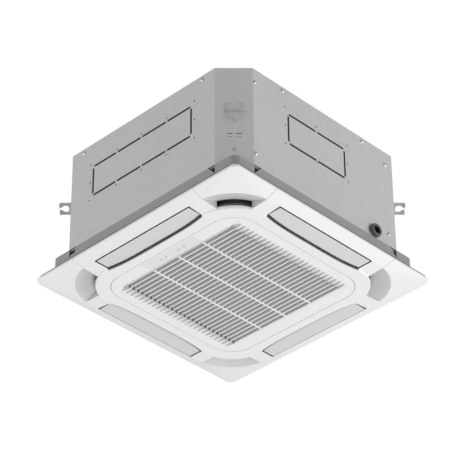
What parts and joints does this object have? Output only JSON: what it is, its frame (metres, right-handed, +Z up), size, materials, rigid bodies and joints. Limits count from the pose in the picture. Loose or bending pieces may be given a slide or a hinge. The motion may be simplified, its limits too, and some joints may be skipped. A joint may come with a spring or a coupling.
{
  "type": "ceiling cassette air conditioner",
  "caption": "Compact ceiling cassette air conditioner: square steel casing with hangers, white panel with hinged air vanes round a slotted drop-down intake grille.",
  "frame": {"origin": "midpoint of the four hanger slots, at the height of the hangers' undersides, which rest on the nuts of the hanging rods", "axes": "+Z up, the grille's face looks down along -Z; the drain socket leaves the casing towards -Y and the refrigerant pipes towards +X"},
  "size_m": [0.64, 0.62, 0.331],
  "materials": {
    "galvanised_steel": "satin galvanised sheet",
    "bright_steel": "zinc plated",
    "black_rubber": "matt",
    "grey_rubber": "matt",
    "liner_foam": "closed-cell foam",
    "pan_foam": "expanded foam",
    "coil_aluminium": "fine fins",
    "copper": "drawn copper",
    "brass": "turned",
    "pale_plastic": "moulded",
    "black_plastic": "moulded",
    "green_board": "lacquered laminate",
    "white_plastic": "smooth satin",
    "grey_plastic": "moulded",
    "vane_plastic": "moulded",
    "window_plastic": "smooth translucent",
    "filter_plastic": "moulded",
    "filter_net": "fine net"
  },
  "bodies": {
    "unit": {"top_plate": "galvanised_steel", "side_plate_drain": "galvanised_steel", "side_plate_pipe": "galvanised_steel", "side_plate_wiring": "galvanised_steel", "side_plate_duct": "galvanised_steel", "corner_plate_1": "galvanised_steel", "corner_plate_2": "galvanised_steel", "corner_plate_3": "galvanised_steel", "corner_plate_4": "galvanised_steel", "hanger_bracket_1": "galvanised_steel", "hanger_bracket_2": "galvanised_steel", "hanger_bracket_3": "galvanised_steel", "hanger_bracket_4": "galvanised_steel", "casing_screws": "bright_steel", "cable_gland": "black_rubber", "casing_liner": "liner_foam", "coil_fins": "coil_aluminium", "coil_tubes": "copper", "coil_end_plates": "galvanised_steel", "refrigerant_pipes": "copper", "flare_nuts": "brass", "pipe_cover": "galvanised_steel", "drain_pan": "pan_foam", "drain_socket": "black_rubber", "drain_hose": "grey_rubber", "drain_pump": "pale_plastic", "float_switch": "pale_plastic", "fan_motor": "black_plastic", "motor_mounts": "black_rubber", "motor_bolts": "bright_steel", "bell_mouth": "pale_plastic", "control_box": "galvanised_steel", "control_box_lid": "galvanised_steel", "circuit_board": "green_board", "terminal_block": "pale_plastic", "panel_frame": "white_plastic", "panel_base": "grey_plastic", "panel_gasket": "liner_foam", "corner_cover_1": "white_plastic", "corner_cover_2": "white_plastic", "corner_cover_3": "white_plastic", "corner_cover_4": "white_plastic", "vane_motors": "pale_plastic", "panel_bolts": "bright_steel"},
    "fan": {"turbo_fan": "pale_plastic", "fan_nut": "brass", "motor_shaft": "bright_steel"},
    "pump_rotor": {"pump_impeller": "black_plastic"},
    "float": {"float_ball": "pale_plastic"},
    "grille_arms": {"hinge_slides": "grey_plastic"},
    "grille": {"intake_grille": "white_plastic", "display_window": "window_plastic", "filter_frame": "filter_plastic", "filter_mesh": "filter_net"},
    "vane_1": {"vane_1": "vane_plastic"},
    "vane_2": {"vane_2": "vane_plastic"},
    "vane_3": {"vane_3": "vane_plastic"},
    "vane_4": {"vane_4": "vane_plastic"},
    "catch_1": {"catch_plunger_1": "black_plastic"},
    "catch_2": {"catch_plunger_2": "black_plastic"}
  },
  "joints": [
    {"name": "fan_spin", "type": "hinge", "parent": "unit", "child": "fan", "pos_m": [0, 0, 0], "axis": [0, 0, 1], "continuous": true},
    {"name": "pump_spin", "type": "hinge", "parent": "unit", "child": "pump_rotor", "pos_m": [0.21237, -0.21237, 0], "axis": [0, 0, 1], "continuous": true},
    {"name": "float_slide", "type": "slide", "parent": "unit", "child": "float", "axis": [0, 0, 1], "range_m": [0, 0.009]},
    {"name": "grille_slide", "type": "slide", "parent": "unit", "child": "grille_arms", "axis": [1, 0, 0], "range_m": [0, 0.0103]},
    {"name": "grille_hinge", "type": "hinge", "parent": "grille_arms", "child": "grille", "pos_m": [-0.1895, 0, -0.206], "axis": [0, 1, 0], "range_deg": [0, 85]},
    {"name": "vane_hinge_1", "type": "hinge", "parent": "unit", "child": "vane_1", "pos_m": [0, -0.248, -0.1995], "axis": [1, 0, 0], "range_deg": [0, 60]},
    {"name": "vane_hinge_2", "type": "hinge", "parent": "unit", "child": "vane_2", "pos_m": [0.248, 0, -0.1995], "axis": [0, 1, 0], "range_deg": [0, 60]},
    {"name": "vane_hinge_3", "type": "hinge", "parent": "unit", "child": "vane_3", "pos_m": [0, 0.248, -0.1995], "axis": [-1, 0, 0], "range_deg": [0, 60]},
    {"name": "vane_hinge_4", "type": "hinge", "parent": "unit", "child": "vane_4", "pos_m": [-0.248, 0, -0.1995], "axis": [0, -1, 0], "range_deg": [0, 60]},
    {"name": "catch_slide_1", "type": "slide", "parent": "unit", "child": "catch_1", "axis": [0, 0, 1], "range_m": [0, 0.0035], "stiffness_N_per_m": 300, "springref_m": -0.01},
    {"name": "catch_slide_2", "type": "slide", "parent": "unit", "child": "catch_2", "axis": [0, 0, 1], "range_m": [0, 0.0035], "stiffness_N_per_m": 300, "springref_m": -0.01}
  ],
  "couplings": [
    {"joint": "grille_slide", "follows": "grille_hinge", "m_per_rad": 0.00688}
  ]
}
